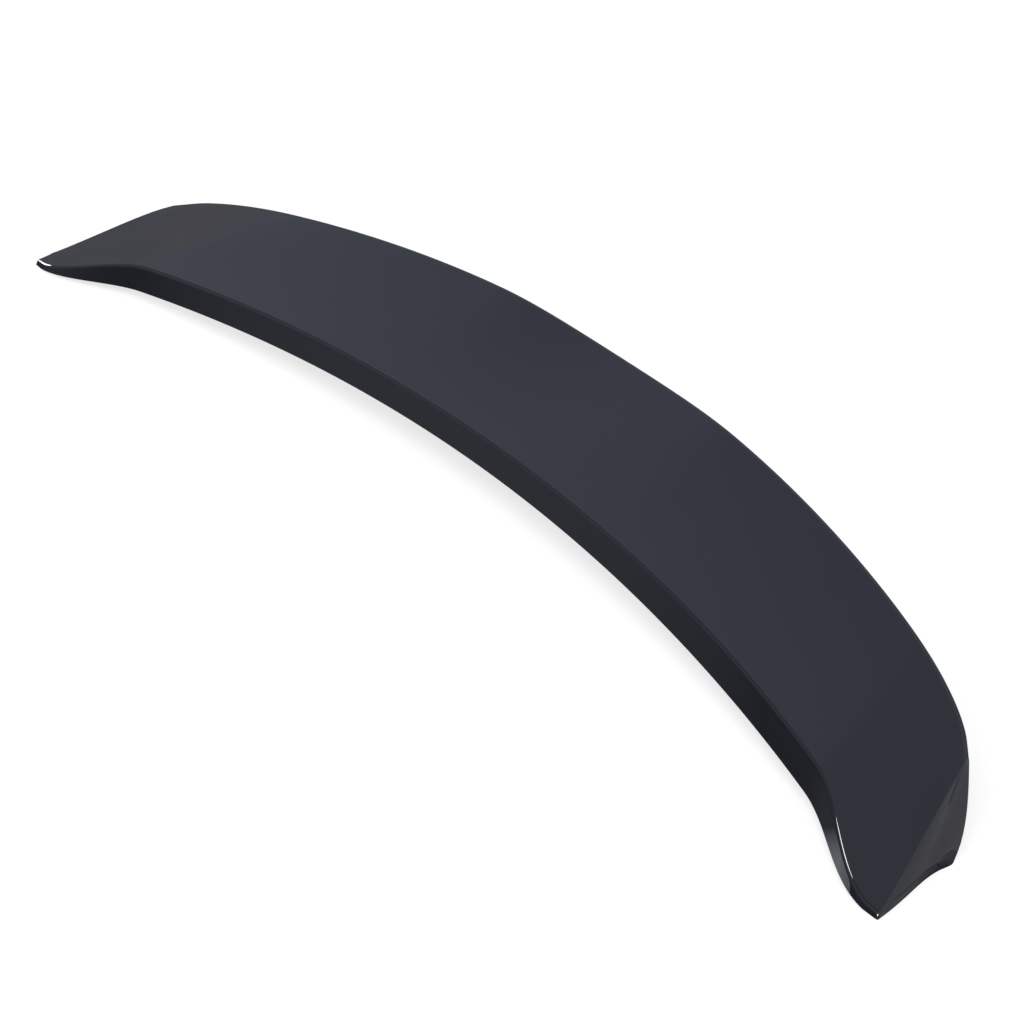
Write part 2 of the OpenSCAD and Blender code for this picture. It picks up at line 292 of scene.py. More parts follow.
@dataclass(frozen=True)
class SpoilerForm:
    """The moulding's shape: four curves along the span, and a section that joins them.

    The sizes are in millimetres, and Y runs back from the tips. They are those of the solids, apart
    from a deeper groove and softer turns at the lip's end and the rear corner.
    """

    half_span: float = 592.0
    front_setback: float = 108.5
    front_radius: float = 1800.0
    ear_length: float = 124.0
    nose_angle: float = 12.0
    lip_reach: float = 267.0
    lip_end_reach: float = 145.0
    lip_end_inset: float = 52.0
    rear_foot_reach: float = 227.5
    rear_corner_reach: float = 86.0
    rear_corner_inset: float = 6.5
    lid_crown: float = 22.0
    lip_height: float = 86.0
    lip_end_height: float = 46.0
    wall_height: float = 17.5
    wall_swell: float = 8.5
    tip_height: float = 4.5
    wall_setback: float = 14.0
    tip_setback: float = 1.5
    lip_dip: float = 5.0
    top_dish: float = 3.0
    end_crown: float = 1.8
    crease_r: float = 5.0
    lip_r: float = 4.0
    lip_end_r: float = 2.5
    least_lip_r: float = 0.8
    facet_r: float = 4.0
    tip_r: float = 1.5
    corner_r: float = 12.0
    lip_turn_r: float = 26.0
    lip_turn_reach: float = 0.6
    corner_bulge: float = 2.0
    band_front: float = 7.0
    band_rear: float = 8.5
    groove_half: float = 0.9
    groove_depth: float = 2.2
    side_waist: float = 4.2
    skin: float = 3.0
    lip_sweep: float = 0.83
    lip_sweep_power: float = 16.0
    lip_fall: float = 0.87
    lip_fall_power: float = 16.0
    foot_sweep: float = 0.6
    foot_end_power: float = 4.0
    lip_dip_share: float = 0.294
    wall_fall_start: float = 0.79
    setback_power: float = 4.0
    bulge_end_power: float = 20.0
    bulge_power: float = 1.5
    crown_end_power: float = 10.0
    crown_power: float = 3.0
    facet_slope_share: float = 1.7
    last_step: float = 0.024
    groove_share: float = 0.75
    groove_fade: float = 0.06
    groove_end: float = 0.84
    foot_spread: float = 0.8
    middle_y: float = 131.187
    # The solids' flat faces cut across the lip's curve by this much, so the fine curve comes in
    lip_slack: float = 0.16
    # How far, over what reach and which way the lip's end and the rear corner are eased
    lip_ease: tuple[float, float, Vector] = (1.8, 30.0, Vector((-0.8, -0.38, -0.46)))
    rear_ease: tuple[float, float, Vector] = (0.8, 12.0, Vector((-0.7, -0.7, 0.0)))
    # Faces along the section, in the same proportions as the solids'
    wall_n: int = 6
    crease_n: int = 9
    top_n: int = 15
    lip_n: int = 10
    rear_n: int = 10
    # Faces along half of the span, round each end and down it
    span_n: int = 52
    ear_n: int = 30
    facet_arc_n: int = 6
    facet_n: int = 6

    @property
    def crease_j(self) -> int:
        """Column where the front crease ends."""
        return self.wall_n + self.crease_n

    @property
    def lip_j(self) -> int:
        """Column where the lip's rounding starts."""
        return self.crease_j + self.top_n

    @property
    def rear_j(self) -> int:
        """Column where the lip's rounding ends."""
        return self.lip_j + self.lip_n

    @property
    def last_j(self) -> int:
        """Column of the rear foot."""
        return self.rear_j + self.rear_n

    @property
    def lip_half(self) -> float:
        """Half of the lip's length."""
        return self.half_span - self.lip_end_inset

    @property
    def rear_half(self) -> float:
        """Half of the rear foot's length."""
        return self.half_span - self.rear_corner_inset

    @staticmethod
    def blend(s: float, share: float, power: float) -> float:
        """Mixes a squared term with one that bends the ends.

        Args:
            s: Share of the half span.
            share: Part that the squared term takes.
            power: Power of the other term.

        Returns:
            The mixed value, 1 at the end of the span.
        """
        return share * s**2 + (1 - share) * s**power

    def front_foot(self, x: float) -> Vector:
        """Returns the front foot's point at x, on its arc or on an ear."""
        ear_x = self.half_span - self.ear_length
        radius = self.front_radius
        if x <= ear_x:
            y = self.front_setback - radius + math.sqrt(radius**2 - x**2)
        else:
            w = (x - ear_x) / self.ear_length
            start = self.front_setback - radius + math.sqrt(radius**2 - ear_x**2)
            slope = -ear_x / math.sqrt(radius**2 - ear_x**2) * self.ear_length
            nose = math.tan(math.radians(self.nose_angle)) * self.ear_length
            y = (
                (2 * w**3 - 3 * w**2 + 1) * start
                + (w**3 - 2 * w**2 + w) * slope
                + (w**3 - w**2) * nose
            )
        return Vector((x, y, self.lid_crown * (1 - (x / self.half_span) ** 2)))

    def crease(self, x: float) -> Vector:
        """Returns the front crease's point over the foot at x."""
        s = x / self.half_span
        t = max(0.0, (s - self.wall_fall_start) / (1 - self.wall_fall_start))
        fall = t**2 * (3 - 2 * t)
        rise = (
            self.wall_height
            + self.wall_swell * s**2
            - (self.wall_height + self.wall_swell - self.tip_height) * fall
        )
        back = self.wall_setback + (self.tip_setback - self.wall_setback) * s**self.setback_power
        return self.front_foot(x) + Vector((0, back, rise))

    def lip(self, x: float) -> Vector:
        """Returns the trailing lip's point at x."""
        s = x / self.lip_half
        sweep = self.blend(s, self.lip_sweep, self.lip_sweep_power)
        fall = self.blend(s, self.lip_fall, self.lip_fall_power)
        dip = self.lip_dip * max(0.0, 1 - (s / self.lip_dip_share) ** 2) ** 2
        return Vector((
            x,
            self.lip_reach - (self.lip_reach - self.lip_end_reach) * sweep - self.lip_slack,
            self.lip_height - (self.lip_height - self.lip_end_height) * fall - dip - self.lip_slack,
        ))

    def rear_foot(self, x: float) -> Vector:
        """Returns the rear foot's point at x."""
        sweep = self.blend(abs(x) / self.rear_half, self.foot_sweep, self.foot_end_power)
        return Vector((
            x, self.rear_foot_reach - (self.rear_foot_reach - self.rear_corner_reach) * sweep, 0,
        ))

    def corners(self, u: float, inset: float, drop: float) -> Row:
        """Finds the section's four sharp corners.

        Args:
            u: Share of the half span.
            inset: Depth inside the outer face.
            drop: How far both feet run on below the lid.

        Returns:
            Front foot, front crease, lip and rear foot.
        """
        a = self.front_foot(u * (self.half_span - inset))
        b = self.crease(u * (self.half_span - self.facet_slope_share * inset))
        c = self.lip(u * (self.lip_half - self.facet_slope_share * inset))
        r = self.rear_foot(u * (self.rear_half - inset))

        def inside(p: Vector, q: Vector, s: Vector) -> Vector:
            d, e = (q - p).normalized(), (s - p).normalized()
            return p + (d + e) * inset / d.cross(e).length

        def along(p: Vector, up: Vector, across: Vector) -> Vector:
            d, e = (up - p).normalized(), (across - p).normalized()
            return p + e * inset / d.cross(e).length

        low_a, low_r = along(a, b, r), along(r, c, a)
        high_b, high_c = inside(b, a, c), inside(c, b, r)
        return [
            low_a + (low_a - high_b).normalized() * drop,
            high_b,
            high_c,
            low_r + (low_r - high_c).normalized() * drop,
        ]

    @staticmethod
    def round_corner(a: Vector, p: Vector, b: Vector, r: float, n: int) -> Row:
        """Rounds a corner with an arc.

        Args:
            a: Point before the corner.
            p: The sharp corner.
            b: Point after it.
            r: Radius, kept short of both sides' middles.
            n: Faces in the arc.

        Returns:
            The arc's n + 1 points.
        """
        d, e = (a - p).normalized(), (b - p).normalized()
        half = math.acos(max(-1.0, min(1.0, d.dot(e)))) / 2
        run = min(r / math.tan(half), 0.45 * (a - p).length, 0.45 * (b - p).length)
        fit_r = run * math.tan(half)
        centre = p + (d + e).normalized() * fit_r / math.sin(half)
        start, end = p + d * run - centre, p + e * run - centre
        turn = math.pi - 2 * half
        return [
            centre
            + (math.sin(turn * (1 - i / n)) * start + math.sin(turn * i / n) * end) / math.sin(turn)
            for i in range(n + 1)
        ]

    @staticmethod
    def hump(f: float, power: float) -> float:
        """Rises from 0 to 1 and falls back to 0, with its top nearer to 1 for a higher power."""
        top = power / (power + 1)
        return f**power * (1 - f) / (top**power * (1 - top))

    def section(self, u: float, inset: float, drop: float) -> Row:
        """Draws one section.

        Args:
            u: Share of the half span.
            inset: Depth inside the outer face.
            drop: How far both feet run on below the lid.

        Returns:
            Points from the front foot over the top to the rear foot.
        """
        k = self.corners(u, inset, drop)
        front = self.round_corner(k[0], k[1], k[2], self.crease_r - inset, self.crease_n)
        lip_r = self.lip_r + (self.lip_end_r - self.lip_r) * u**8
        back = self.round_corner(k[1], k[2], k[3], max(lip_r - inset, self.least_lip_r), self.lip_n)
        dish = self.top_dish * (1 - u**4)
        crown = self.end_crown * u**self.crown_end_power
        bulge = Vector((1, 1, 0)) * self.corner_bulge * u**self.bulge_end_power
        row = [towards(k[0], front[0], i / self.wall_n) for i in range(self.wall_n)] + front
        for i in range(1, self.top_n):
            f = i / self.top_n
            rise = crown * self.hump(f, self.crown_power) - dish * self.hump(f, 1)
            row.append(towards(front[-1], back[0], f) + Vector((0, 0, rise)))
        row += back
        for i in range(1, self.rear_n + 1):
            f = i / self.rear_n
            row.append(towards(back[-1], k[3], f) + bulge * self.hump(f, self.bulge_power))
        return row

    def side_share(self, j: int) -> float:
        """Returns where column j reaches the side's foot, from the tip to the rear corner."""
        stops = [(0, 0.1), (self.crease_j, 0.15), (self.lip_j, 0.62), (self.rear_j, 0.67),
                 (self.last_j, self.groove_end)]
        for (j0, s0), (j1, s1) in zip(stops, stops[1:]):
            if j <= j1:
                return s0 + (s1 - s0) * (j - j0) / (j1 - j0)
        return stops[-1][1]

    def end_line(self, j: int, before: Row, edge: Row, inset: float) -> Row:
        """Draws one line down an end: round the crease, over the facet and down the base band.

        Args:
            j: Column.
            before: Last section before the end.
            edge: Section at the end.
            inset: Depth inside the outer face.

        Returns:
            The line's points, from the rounding to the foot.
        """
        share = self.side_share(j)
        foot = towards(edge[0], edge[-1], share) - Vector(
            (self.side_waist * math.sin(math.pi * share**2), 0, 0)
        )
        corner = edge[j]
        room = max(corner.z - foot.z, 0)
        band = min(
            self.band_front + (self.band_rear - self.band_front) * share, self.groove_share * room
        )
        full = min(1.0, band / self.band_front)
        spread = (corner - foot).normalized() * self.foot_spread * (1 - full)
        fade = min(1.0, (self.groove_end - share) / self.groove_fade)
        cut = 0.0 if inset > 0 else full * self.groove_depth * fade
        top = foot + Vector((0, 0, band)) + 3 * spread
        turn_r = self.tip_r + (self.facet_r - self.tip_r) * min(1.0, j / self.lip_j)
        turn_r += (self.corner_r - self.facet_r) * max(0.0, j - self.rear_j) / self.rear_n
        # The facet's edge grows softer towards the lip's end, and crisp again below it
        off_lip = max(0.0, (self.lip_j - j) / self.top_n, (j - self.rear_j) / self.rear_n)
        softness = max(0.0, 1 - off_lip / self.lip_turn_reach) ** 2
        turn_r += (self.lip_turn_r - self.facet_r) * softness
        arc = self.round_corner(
            before[j], corner, top, max(turn_r - inset, self.tip_r / 2), self.facet_arc_n
        )
        upper = top + (corner - top).normalized() * self.groove_half * full
        flat = [towards(arc[-1], upper, i / self.facet_n) for i in range(1, self.facet_n)]
        low = Vector((0, 0, max(band - self.groove_half * full, 0)))
        return arc + flat + [
            upper,
            foot + Vector((-cut, 0, band)) + 2 * spread,
            foot + low + spread,
            foot,
        ]

    def eased(self, p: Vector) -> Vector:
        """Draws a point in where it lies near the lip's end or the rear corner.

        Args:
            p: Point of the surface.

        Returns:
            The point, moved by less the further it lies from the corner.
        """
        for at, (depth, reach, way) in (
            (self.lip(self.lip_half), self.lip_ease),
            (self.rear_foot(self.rear_half), self.rear_ease),
        ):
            p = p + way * depth * max(0.0, 1 - (p - at).length / reach) ** 2
        return p

    def rows(self, inset: float = 0.0, drop: float = 0.0) -> list[Row]:
        """Draws the whole surface.

        Args:
            inset: Depth inside the outer face.
            drop: How far both feet run on below the lid.

        Returns:
            Rows from the left side's foot to the right side's, in the frame's own place.
        """
        ear_start = 1 - self.ear_length / self.half_span
        last = 1 - self.last_step
        shares = [ear_start * i / self.span_n for i in range(self.span_n)]
        shares += [ear_start + (last - ear_start) * i / self.ear_n for i in range(self.ear_n + 1)]
        half = [self.section(u, inset, drop) for u in shares]
        edge = self.section(1.0, inset, drop)
        lines = [self.end_line(j, half[-1], edge, inset) for j in range(self.last_j + 1)]
        half += [[line[i] for line in lines] for i in range(len(lines[0]))]
        shift = Vector((0, self.middle_y, 0))
        right = [[self.eased(p) - shift for p in row] for row in half]
        left = [[Vector((-p.x, p.y, p.z)) for p in row] for row in right[:0:-1]]
        return left + right


def place_grid(mesh: bmesh.types.BMesh, rows: list[Row]) -> list[bmesh.types.BMVert]:
    """Adds a grid and lays it over rows of points.

    Args:
        mesh: Mesh that gets the grid.
        rows: Points, row by row.

    Returns:
        The grid's vertices, row by row.
    """
    across, along = len(rows), len(rows[0])
    made = bmesh.ops.create_grid(mesh, x_segments=across - 1, y_segments=along - 1, size=1)["verts"]
    ordered: list[bmesh.types.BMVert | None] = [None] * (across * along)
    for v in made:
        i = round((v.co.x + 1) / 2 * (across - 1))
        j = round((v.co.y + 1) / 2 * (along - 1))
        ordered[i * along + j] = v
    for i, row in enumerate(rows):
        for j, p in enumerate(row):
            ordered[i * along + j].co = p
    return ordered


def place_object(name: str, data: bpy.types.ID | bmesh.types.BMesh) -> bpy.types.Object:
    """Stands something in the scene, at the origin.

    Args:
        name: The object's name.
        data: A lamp, a camera, or a mesh under work, which is freed.

    Returns:
        The new object.
    """
    if isinstance(data, bmesh.types.BMesh):
        mesh, data = data, bpy.data.meshes.new(name)
        mesh.to_mesh(data)
        mesh.free()
    obj = bpy.data.objects.new(name, data)
    bpy.context.scene.collection.objects.link(obj)
    return obj


def finish_mesh(
    name: str, mesh: bmesh.types.BMesh, painted: set[bmesh.types.BMVert] | None = None,
) -> bpy.types.Object:
    """Turns a closed millimetre mesh into an object in metres.

    Args:
        name: The object's name.
        mesh: The mesh, which is freed.
        painted: Vertices of the painted faces, if there are any.

    Returns:
        The new object.
    """
    mesh.normal_update()
    bmesh.ops.recalc_face_normals(mesh, faces=mesh.faces)
    for f in mesh.faces:
        shiny = painted is not None and painted.issuperset(f.verts)
        f.material_index = (Skin.PAINTED if shiny else Skin.MOULDED).value
    bmesh.ops.scale(mesh, vec=(MM, MM, MM), verts=mesh.verts)
    return place_object(name, mesh)


def combine(body: bpy.types.Object, tool: bpy.types.Object, operation: str) -> None:
    """Joins, trims or cuts body with tool, and removes tool.

    Args:
        body: Object that is changed.
        tool: Closed object that is used up.
        operation: UNION, INTERSECT or DIFFERENCE.
    """
    step = body.modifiers.new("combine", "BOOLEAN")
    step.operation = operation
    step.object = tool
    step.solver = "MANIFOLD"
    seen = body.evaluated_get(bpy.context.evaluated_depsgraph_get())
    data = bpy.data.meshes.new_from_object(seen)
    body.modifiers.clear()
    old = body.data
    body.data = data
    bpy.data.meshes.remove(old)
    bpy.data.meshes.remove(tool.data)


@dataclass
class SpoilerShell:
    """The painted moulding: skin, ribs, bosses and the seat for the high-level lamp."""

    form: SpoilerForm
    rib_wall: float = 2.0
    rib_pitch: float = 96.0
    rib_pairs: int = 6
    rib_gap: float = 2.0
    spine_share: float = 0.45
    boss_r: float = 8.0
    insert_r: float = 4.55
    pocket_depth: float = 13.0
    overrun: float = 1.0
    boss_steps: tuple[float, float] = (2.5, 5.5)
    seat_length: float = 262.0
    seat_height: float = 52.0
    seat_depth: float = 12.0
    seat_rise: float = 42.0
    seat_corner_r: float = 8.0
    seat_wall: float = 2.5
    window_length: float = 200.0
    window_height: float = 34.0
    window_depth: float = 24.0
    screw_pitch: float = 234.0
    screw_rise: float = 14.0
    pilot_r: float = 1.4
    pilot_depth: float = 12.0
    pilot_boss_r: float = 4.5
    reach_out: float = 40.0
    core_drop: float = 10.0
    round_steps: int = 48
    tall: float = 105.0

    @property
    def rake(self) -> float:
        """Angle by which the rear face leans back."""
        f = self.form
        return math.atan((f.lip_reach - f.rear_foot_reach) / (f.lip_height - f.lip_dip))

    def lid_z(self, x: float, y: float) -> float:
        """Returns the lid's height at x and at y behind the tips."""
        front, back = self.form.front_foot(abs(x)), self.form.rear_foot(abs(x))
        return front.z * (1 - (y - front.y) / (back.y - front.y))

    def spine_y(self, x: float) -> float:
        """Returns the long rib's place at x, behind the tips."""
        front, back = self.form.front_foot(abs(x)), self.form.rear_foot(abs(x))
        return front.y + (back.y - front.y) * self.spine_share

    def make_skin(self) -> bpy.types.Object:
        """Makes the moulded skin from its outer face, its inner face and the rim between them."""
        mesh = bmesh.new()
        outer_rows = self.form.rows()
        outer = place_grid(mesh, outer_rows)
        inner = place_grid(mesh, self.form.rows(inset=self.form.skin))
        rim = [e for e in mesh.edges if e.is_boundary]
        across, along = len(outer_rows), len(outer_rows[0])
        sides = (
            [i * along for i in range(across)],
            [i * along + along - 1 for i in range(across)],
            list(range(along)),
            [(across - 1) * along + j for j in range(along)],
        )
        for side in sides:
            chains = [{grid[k] for k in side} for grid in (outer, inner)]
            edges = [e for e in rim if any(set(e.verts) <= chain for chain in chains)]
            bmesh.ops.bridge_loops(mesh, edges=edges)
        return finish_mesh("spoiler_body", mesh, set(outer))

    def make_core(self) -> bpy.types.Object:
        """Makes a solid that ends halfway through the skin, to trim what stands inside."""
        mesh = bmesh.new()
        rows = self.form.rows(inset=self.form.skin / 2, drop=self.core_drop)
        grid = place_grid(mesh, rows)
        along = len(rows[0])
        front = {grid[i * along] for i in range(len(rows))}
        back = {grid[i * along + along - 1] for i in range(len(rows))}
        edges = [
            e for e in mesh.edges
            if e.is_boundary and (set(e.verts) <= front or set(e.verts) <= back)
        ]
        bmesh.ops.bridge_loops(mesh, edges=edges)
        bmesh.ops.holes_fill(mesh, edges=[e for e in mesh.edges if e.is_boundary])
        return finish_mesh("core", mesh)

    @staticmethod
    def slab(corners: Row, thickness: Vector) -> bmesh.types.BMesh:
        """Makes a flat wall.

        Args:
            corners: Four corners of one face.
            thickness: Way and distance to the other face.

        Returns:
            The closed wall.
        """
        mesh = bmesh.new()
        bmesh.ops.create_cube(mesh, size=1)
        near = sorted(
            (v for v in mesh.verts if v.co.z < 0), key=lambda v: math.atan2(v.co.y, v.co.x),
        )
        far = [next(w for e in v.link_edges for w in e.verts if w.co.z > 0) for v in near]
        for v, w, p in zip(near, far, corners):
            v.co, w.co = p, p + thickness
        return mesh

    def cross_rib(self, x: float) -> bmesh.types.BMesh:
        """Makes the cross rib at x, with its lower edge just over the lid."""
        f = self.form
        front = f.front_foot(abs(x)).y - self.reach_out
        back = f.rear_foot(abs(x)).y + self.reach_out
        low = [self.lid_z(x, y) + self.rib_gap for y in (front, back)]
        shift = f.middle_y
        left = x - self.rib_wall / 2
        return self.slab(
            [
                Vector((left, front - shift, low[0])),
                Vector((left, back - shift, low[1])),
                Vector((left, back - shift, self.tall)),
                Vector((left, front - shift, self.tall)),
            ],
            Vector((self.rib_wall, 0, 0)),
        )

    def spine_span(self, x0: float, x1: float) -> bmesh.types.BMesh:
        """Makes the long rib between two cross ribs."""
        shift = self.form.middle_y + self.rib_wall / 2
        low = self.lid_z(0, self.spine_y(0)) + self.rib_gap
        a, b = (Vector((x, self.spine_y(x) - shift, low)) for x in (x0, x1))
        up = Vector((0, 0, self.tall - low))
        return self.slab([a, b, b + up, a + up], Vector((0, self.rib_wall, 0)))

    def upright(self, x: float, r: float, low: float, high: float) -> bmesh.types.BMesh:
        """Makes an upright round post on the long rib."""
        mesh = bmesh.new()
        place = Matrix.Translation((x, self.spine_y(x) - self.form.middle_y, (low + high) / 2))
        bmesh.ops.create_cone(
            mesh, cap_ends=True, segments=self.round_steps, radius1=r, radius2=r,
            depth=high - low, matrix=place,
        )
        return mesh

    def boss_foot(self, x: float) -> float:
        """Returns the height of a boss's lower face."""
        return self.lid_z(x, self.spine_y(x) - self.boss_r)

    def plate(
        self, length: float, height: float, r: float, low: float, high: float, raked: bool = True,
    ) -> bmesh.types.BMesh:
        """Makes a plate with rounded corners on the rear face.

        Args:
            length: Size along the span.
            height: Size up the face.
            r: Corner radius.
            low: Where it starts, inwards from the rear face.
            high: Where it ends.
            raked: True to lie on the leaning face, False to stand upright.

        Returns:
            The closed plate.
        """
        f = self.form
        mesh = bmesh.new()
        bmesh.ops.create_cube(
            mesh, size=1,
            matrix=Matrix.Translation((0, 0, (low + high) / 2))
            @ Matrix.Diagonal((length, height, high - low, 1)),
        )
        upright = [e for e in mesh.edges if abs(e.verts[0].co.z - e.verts[1].co.z) > 1]
        bmesh.ops.bevel(
            mesh, geom=upright, offset=r, offset_type="OFFSET", segments=8, profile=0.5,
            affect="EDGES", material=-1, clamp_overlap=True,
        )
        lean = self.rake if raked else 0.0
        face = Matrix.Translation((
            0,
            f.rear_foot_reach + self.seat_rise * math.sin(self.rake) - f.middle_y,
            self.seat_rise * math.cos(self.rake),
        )) @ Matrix.Rotation(math.pi / 2 - lean, 4, "X")
        bmesh.ops.transform(mesh, matrix=face, verts=mesh.verts)
        return mesh

    def lamp_post(self, side: Side, r: float, start: float, length: float) -> bmesh.types.BMesh:
        """Makes a round post along Y at a lamp screw.

        Args:
            side: Which screw.
            r: Radius.
            start: Where it starts, outwards from the seat's floor.
            length: Length inwards from there.

        Returns:
            The closed post.
        """
        f = self.form
        z = (self.seat_rise + self.screw_rise) * math.cos(self.rake)
        face_y = f.rear_foot_reach + z * math.tan(self.rake)
        floor_y = face_y - self.seat_depth / math.cos(self.rake)
        mesh = bmesh.new()
        place = Matrix.Translation((
            side.value * self.screw_pitch / 2, floor_y + start - length / 2 - f.middle_y, z,
        )) @ Matrix.Rotation(math.pi / 2, 4, "X")
        bmesh.ops.create_cone(
            mesh, cap_ends=True, segments=self.round_steps, radius1=r, radius2=r,
            depth=length, matrix=place,
        )
        return mesh

    def make(self) -> bpy.types.Object:
        """Builds the whole moulding.

        Returns:
            The finished object, at the origin.
        """
        body, core = self.make_skin(), self.make_core()
        rib_xs = sorted(
            side.value * self.rib_pitch * (i + 0.5) for i in range(self.rib_pairs) for side in Side
        )
        boss_xs = [side.value * self.rib_pitch * i for i in self.boss_steps for side in Side]
        inside = [self.cross_rib(x) for x in rib_xs]
        inside += [self.spine_span(a, b) for a, b in zip(rib_xs, rib_xs[1:])]
        inside += [self.upright(x, self.boss_r, self.boss_foot(x), self.tall) for x in boss_xs]
        wall = self.seat_wall
        inside.append(self.plate(
            self.seat_length + 2 * wall, self.seat_height + 2 * wall, self.seat_corner_r + wall,
            0, self.seat_depth + wall,
        ))
        inside += [
            self.lamp_post(side, self.pilot_boss_r, -wall / 2, self.pilot_depth + wall)
            for side in Side
        ]
        ribs, *others = [finish_mesh(f"inside_{n}", mesh) for n, mesh in enumerate(inside)]
        for piece in others:
            combine(ribs, piece, "UNION")
        combine(ribs, core, "INTERSECT")
        combine(body, ribs, "UNION")

        spaces = [
            self.plate(self.seat_length, self.seat_height, self.seat_corner_r, -self.reach_out,
                       self.seat_depth),
            self.plate(self.window_length, self.window_height, self.seat_corner_r / 2, 0,
                       self.seat_depth + self.window_depth, raked=False),
        ]
        spaces += [
            self.lamp_post(side, self.pilot_r, self.pilot_boss_r,
                           self.pilot_depth + self.pilot_boss_r)
            for side in Side
        ]
        for x in boss_xs:
            low, high = self.boss_foot(x) - self.overrun, self.boss_foot(x) + self.pocket_depth
            spaces.append(self.upright(x, self.insert_r, low, high))
        for n, mesh in enumerate(spaces):
            combine(body, finish_mesh(f"space_{n}", mesh), "DIFFERENCE")
        return body

    @staticmethod
    def dress(body: bpy.types.Object, paint: bpy.types.Material, bare: bpy.types.Material) -> None:
        """Gives the moulding its finishes and its smooth shading.

        Args:
            body: The finished object.
            paint: Finish of the outer face.
            bare: Finish of the rim, the inner face and the ribs.
        """
        body.data.materials.clear()
        body.data.materials.append(paint)
        body.data.materials.append(bare)
        for face in body.data.polygons:
            face.use_smooth = True
        body.data.set_sharp_from_angle(angle=SHARP_ANGLE)
        weigh = body.modifiers.new("flat_faces_stay_flat", "WEIGHTED_NORMAL")
        weigh.keep_sharp = True
        weigh.weight = 50


@dataclass(frozen=True)
class Glint:
    """A small oval lamp that only the lacquer shows, as a white line on one sharp curve.

    Places and sizes are in metres. Its narrow beam, in degrees, keeps it off the flat faces.
    """

    name: str
    at: tuple[float, float, float]
    target: tuple[float, float, float]
    along: tuple[float, float, float]
    size: tuple[float, float]
    radiance: float = 30.0
    beam: float = 64.0

    def make(self) -> None:
        """Places the lamp, with its long side along the given way."""
        data = bpy.data.lights.new(self.name, "AREA")
        data.shape = "ELLIPSE"
        data.size, data.size_y = self.size
        data.spread = math.radians(self.beam)
        # A narrower beam is brighter in its middle for the same power
        gain = math.tan(data.spread / 2) / (math.tan(data.spread / 2) - data.spread / 2)
        area = math.pi / 4 * self.size[0] * self.size[1]
        data.energy = self.radiance * math.pi * area / gain
        lamp = place_object(self.name, data)
        back = (Vector(self.at) - Vector(self.target)).normalized()
        across = back.cross(Vector(self.along)).normalized()
        turn = Matrix((across.cross(back), across, back)).transposed()
        lamp.matrix_world = Matrix.Translation(self.at) @ turn.to_4x4()
        lamp.visible_camera = False
        lamp.visible_diffuse = False
        lamp.visible_transmission = False


